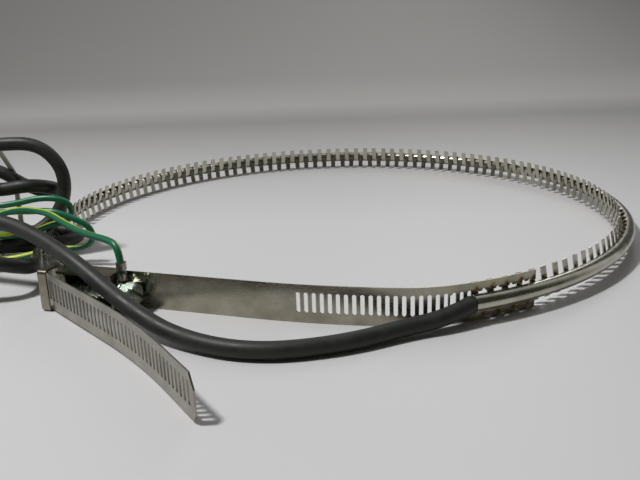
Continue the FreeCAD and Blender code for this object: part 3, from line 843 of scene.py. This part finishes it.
def makeBoot(name, line, node):
    out = (line[0] - line[1]).normalized()
    collar, neck = boots["collarLength"], boots["neckRadius"]
    outline = [(-(collar + boots["neckLength"]), neck), (-collar - 0.05, neck),
               (-collar, boots["collarRadius"] - 0.35), (-collar + 0.3, boots["collarRadius"]),
               (-0.8, boots["collarRadius"]), (-0.2, boots["collarRadius"] - 0.12)]
    start = [line[0] + out * -along * mm for along, _ in outline]
    radii = [radius for _, radius in outline]
    gone, path = 0.0, []
    for a, b in zip(line, line[1:]):
        if gone > boots["sleeveLength"] * mm:
            break
        path.append(a)
        share = gone / (boots["sleeveLength"] * mm)
        radii.append(boots["sleeveRadius"] + (boots["tipRadius"] - boots["sleeveRadius"]) * share)
        gone += (b - a).length
    path.append(path[-1] + (path[-1] - path[-2]).normalized() * 0.25 * mm)
    radii.append(leadA["diameter"] / 2 - 0.05)
    whole = start + path
    distances = [0.0]
    for a, b in zip(whole, whole[1:]):
        distances.append(distances[-1] + (b - a).length)

    def radiusAt(gone):
        near = min(range(len(distances)), key=lambda i: abs(distances[i] - gone))
        return radii[near] * mm

    piece = tube(name, whole, radiusAt, rubber, 28)
    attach(piece, "heater")
    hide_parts(node)


makeBoot("bootA", leadLineA, "boot_a")
makeBoot("bootB", leadLineB, "boot_b")
print("boots made")

# Clamp screw: slotted hexagon head, neck, and a helical thread of the straps' slot pitch

screw = {"threadStart": -21.65, "threadEnd": -1.15, "rootRadius": 2.55, "crestRadius": 3.35, "pitch": 3.2,
         "threadSteps": 110, "runOut": 1.2, "neckRadius": 2.2, "journalRadius": 1.8, "tip": -23.85,
         "head": 2.05, "flangeRadius": 5.3, "flangeHeight": 1.0, "acrossFlats": 9.5, "hexHeight": 6.0,
         "slotWidth": 1.5, "slotDepth": 2.0, "slotDeg": -38.0, "chamfer": 1.0, "chamferSlope": 1.25,
         "faceRadius": 3.2, "ridgeTop": 1.75, "ridgeSlope": 5.0}


def threadRadius(x, angle):
    phase = (x / screw["pitch"] - angle / (2 * math.pi)) % 1.0
    ridge = min(1.0, max(0.0, screw["ridgeTop"] - abs(phase - 0.5) * screw["ridgeSlope"]))
    edge = min(1.0, (x - screw["threadStart"]) / screw["runOut"], (screw["threadEnd"] - x) / screw["runOut"])
    return screw["rootRadius"] + (screw["crestRadius"] - screw["rootRadius"]) * ridge * max(edge, 0.0)


def latheRings(stations, sides, radiusOf):
    # a closed solid of rings along local X; radiusOf(x, angle, radius) gives each point's radius
    verts, faces = [], []
    for x, radius in stations:
        for k in range(sides):
            angle = 2 * math.pi * k / sides
            r = radiusOf(x, angle, radius)
            verts.append((x * mm, r * math.cos(angle) * mm, r * math.sin(angle) * mm))
    for i in range(len(stations) - 1):
        for k in range(sides):
            a, b = i * sides + k, i * sides + (k + 1) % sides
            faces.append((a, a + sides, b + sides, b))
    last = (len(stations) - 1) * sides
    faces.append(tuple(range(sides)))
    faces.append(tuple(range(last + sides - 1, last - 1, -1)))
    return verts, faces


def makeScrew():
    shank = [(screw["tip"], screw["journalRadius"] - 0.3), (screw["tip"] + 0.3, screw["journalRadius"]),
             (screw["threadStart"], screw["journalRadius"]), (screw["threadStart"] + 0.01, None)]
    steps = screw["threadSteps"]
    for i in range(1, steps):
        shank.append((screw["threadStart"] + (screw["threadEnd"] - screw["threadStart"]) * i / steps, None))
    shank += [(screw["threadEnd"] - 0.01, None), (screw["threadEnd"], screw["neckRadius"]),
              (screw["head"] + 0.2, screw["neckRadius"])]

    def shankRadius(x, angle, radius):
        return threadRadius(x, angle) if radius is None else radius

    verts, faces = latheRings(shank, 32, shankRadius)
    # Head: the flange, then the hexagon with its chamfered corners
    corner = screw["acrossFlats"] / 2 / math.cos(math.pi / 6)
    flangeTop = screw["head"] + screw["flangeHeight"]
    top = flangeTop + screw["hexHeight"]

    def hexRadius(angle):
        nearest = (angle + math.pi / 6) % (math.pi / 3) - math.pi / 6
        return screw["acrossFlats"] / 2 / math.cos(nearest)

    def headRadius(x, angle, radius):
        if radius is None:
            cone = corner - max(0.0, x - (top - screw["chamfer"])) * screw["chamferSlope"]
            return min(hexRadius(angle), cone)
        return radius

    stations = [(screw["head"], screw["flangeRadius"] - 0.25), (screw["head"] + 0.15, screw["flangeRadius"]),
                (flangeTop - 0.25, screw["flangeRadius"]), (flangeTop, screw["flangeRadius"] - 0.3),
                (flangeTop + 0.02, None)]
    stations += [(top - screw["chamfer"] * share, None) for share in (1, 0.75, 0.5, 0.25, 0)]
    stations.append((top + 0.001, screw["faceRadius"]))
    headVerts, headFaces = latheRings(stations, 72, headRadius)
    head = meshPiece("head", headVerts, headFaces, zinc, 28)
    # The slot's cutter reaches past the head on both sides and above it
    cutterCorners = [(x, y, z) for x in (top - screw["slotDepth"], top + 2) for y in (-8, 8)
                     for z in (-screw["slotWidth"] / 2, screw["slotWidth"] / 2)]
    cutter = meshPiece("cutter", cutterCorners, boxFaces, None)
    cutter.data.transform(Matrix.Rotation(math.radians(screw["slotDeg"]), 4, "X") @ Matrix.Scale(mm, 4))
    modifier = head.modifiers.new("slot", "BOOLEAN")
    modifier.operation = "DIFFERENCE"
    modifier.object = cutter
    modifier.solver = "EXACT"
    head = flatten("head", head)
    bpy.data.objects.remove(cutter)
    bm = bmesh.new()
    bm.from_mesh(head.data)
    shankMesh = bpy.data.meshes.new("shank")
    shankMesh.from_pydata(verts, [], faces)
    bm.from_mesh(shankMesh)
    bmesh.ops.recalc_face_normals(bm, faces=bm.faces)
    bm.transform(clampFrame)
    mesh = bpy.data.meshes.new("clampScrew")
    bm.to_mesh(mesh)
    bm.free()
    bpy.data.objects.remove(head)
    smoothMesh(mesh, 32)
    piece = linkPiece("clampScrew", mesh, zinc)
    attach(piece, "screw")
    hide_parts("clamp_screw")


makeScrew()
print("screw made")

# Floor, light and world

# The floor's far colour and its fade are painted shade, for the light falling off towards the back
stage = {
    "floorNear": "#cfcecf", "floorFarPaintedShade": "#9b9a99", "backdrop": "#b9b7b5", "paintedShadeDepth": 0.55,
    "keyPower": 12.5, "keySize": 0.16, "keyFrom": (-0.63, -0.23, 1.11),
    "backPower": 2.2, "backSize": 0.7, "backFrom": (0.35, 1.0, 0.75), "worldStrength": 0.62,
    "halfWidth": 2.6, "front": -2.5, "back": 0.9, "bend": 0.5, "bendSteps": 12, "wallTop": 2.2,
}


def floorMaterial():
    # White laminate, with a faint sheen; painted shade darkens it towards the unlit back of the floor
    material, tree, shader = startMaterial("white laminate floor")
    coords = objectCoords(tree)
    depth = addNode(tree, "ShaderNodeSeparateXYZ", {}, {0: coords}).outputs[1]
    # Painted shade: the floor's colour steps down to the far colour with depth, then the plain backdrop
    paintedShadeShare = rangeNode(tree, depth, 0.0, stage["paintedShadeDepth"], 0.0, 1.0)
    stops = [(0.0, stage["floorNear"]), (0.75, stage["floorFarPaintedShade"]), (1.0, stage["backdrop"])]
    colour = rampNode(tree, paintedShadeShare, stops)
    tree.links.new(colour, shader.inputs["Base Color"])
    shader.inputs["Roughness"].default_value = 0.45
    shader.inputs["Specular IOR Level"].default_value = 0.2
    return material


def coveMesh():
    # the floor, bending up at the back into a plain backdrop
    back, bend, steps = stage["back"], stage["bend"], stage["bendSteps"]
    outline = [(stage["front"], 0.0), (back, 0.0)]
    for i in range(1, steps + 1):
        angle = math.radians(90 * i / steps)
        outline.append((back + bend * math.sin(angle), bend - bend * math.cos(angle)))
    outline.append((back + bend, stage["wallTop"]))
    verts = [(x, y, z) for y, z in outline for x in (-stage["halfWidth"], stage["halfWidth"])]
    faces = [(i, i + 1, i + 3, i + 2) for i in range(0, len(verts) - 2, 2)]
    mesh = bpy.data.meshes.new("floor")
    mesh.from_pydata(verts, [], faces)
    mesh.polygons.foreach_set("use_smooth", [True] * len(mesh.polygons))
    return mesh


def makeLamp(name, place, size, power):
    data = bpy.data.lights.new(name, "AREA")
    data.shape = "DISK"
    data.size = size
    data.energy = power
    lamp = bpy.data.objects.new(name, data)
    lamp.location = place
    lamp.rotation_euler = (-Vector(place)).to_track_quat("-Z", "Y").to_euler()
    bpy.context.scene.collection.objects.link(lamp)


def makeWorld():
    world = bpy.data.worlds.new("studio")
    world.use_nodes = True
    tree = world.node_tree
    tree.nodes.clear()
    direction = addNode(tree, "ShaderNodeTexCoord").outputs["Generated"]
    parts = addNode(tree, "ShaderNodeSeparateXYZ", {}, {0: direction}).outputs
    # The room is dark towards -Y up to nearly overhead, which is what the steel's front faces mirror
    overhead = rangeNode(tree, parts[2], 0.93, 0.99, 0.0, 1.0)
    behind = rangeNode(tree, parts[1], -0.12, 0.25, 0.0, 1.0)
    bright = addNode(tree, "ShaderNodeMath", {"operation": "MAXIMUM"}, {0: overhead, 1: behind}).outputs[0]
    tone = rampNode(tree, bright, [(0.0, "#454640"), (0.5, "#a5a5a0"), (1.0, "#f0f1f2")])
    background = addNode(tree, "ShaderNodeBackground", {"Strength": stage["worldStrength"]},
                         {"Color": tone})
    addNode(tree, "ShaderNodeOutputWorld", {}, {"Surface": background.outputs[0]})
    bpy.context.scene.world = world


def makeStage():
    linkPiece("floor", coveMesh(), floorMaterial())
    makeLamp("key light", stage["keyFrom"], stage["keySize"], stage["keyPower"])
    makeLamp("back light", stage["backFrom"], stage["backSize"], stage["backPower"])
    makeWorld()
    bpy.context.scene.view_settings.view_transform = "Standard"


makeStage()
print("stage made")
